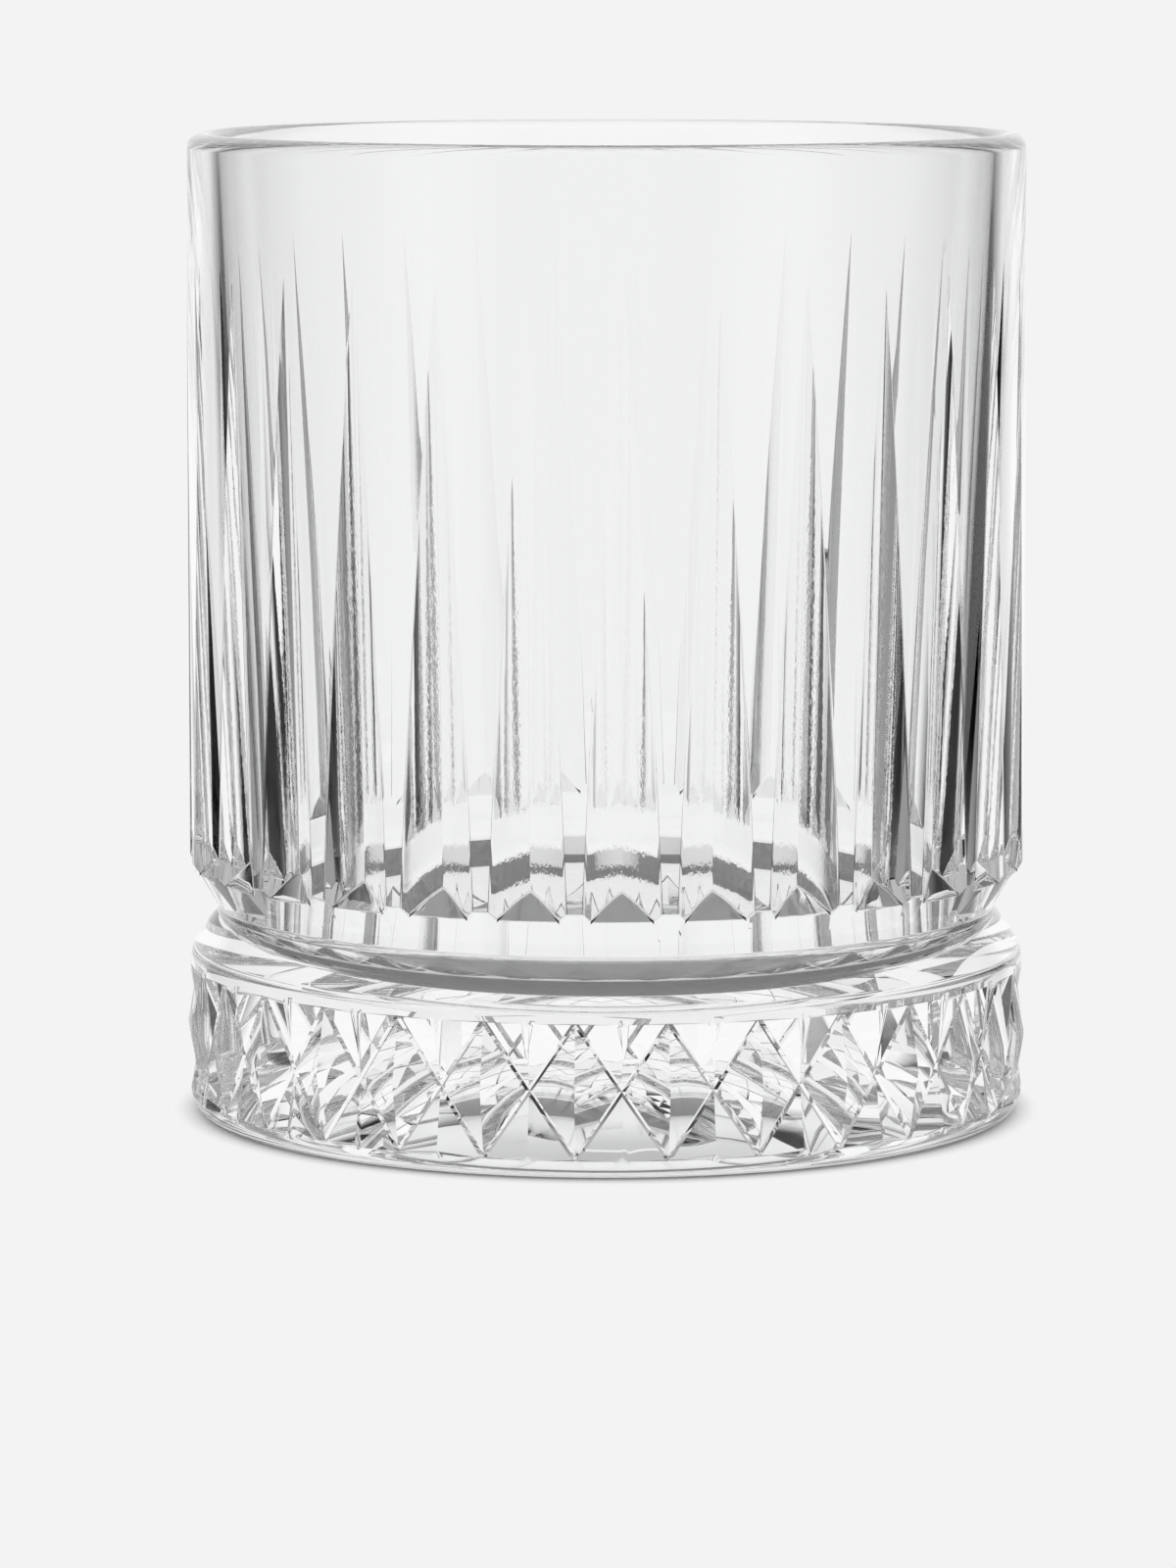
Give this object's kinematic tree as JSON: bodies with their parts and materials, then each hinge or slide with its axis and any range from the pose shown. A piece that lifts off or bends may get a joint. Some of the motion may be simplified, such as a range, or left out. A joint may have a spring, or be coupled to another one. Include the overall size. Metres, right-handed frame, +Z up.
{
  "type": "whiskey tumbler",
  "caption": "Heavy-based pressed-glass tumbler with long tapered flutes, a waist and a diamond-cut foot ring.",
  "frame": {"origin": "centre of the foot on the surface that the tumbler stands on", "axes": "+Z up along the tumbler's axis, from foot to rim; the front is towards -Y"},
  "size_m": [0.0847, 0.0847, 0.0984],
  "materials": {
    "glass": "clear, fire-polished pressed glass"
  },
  "bodies": {
    "root": {"tumbler": "glass"}
  },
  "joints": []
}
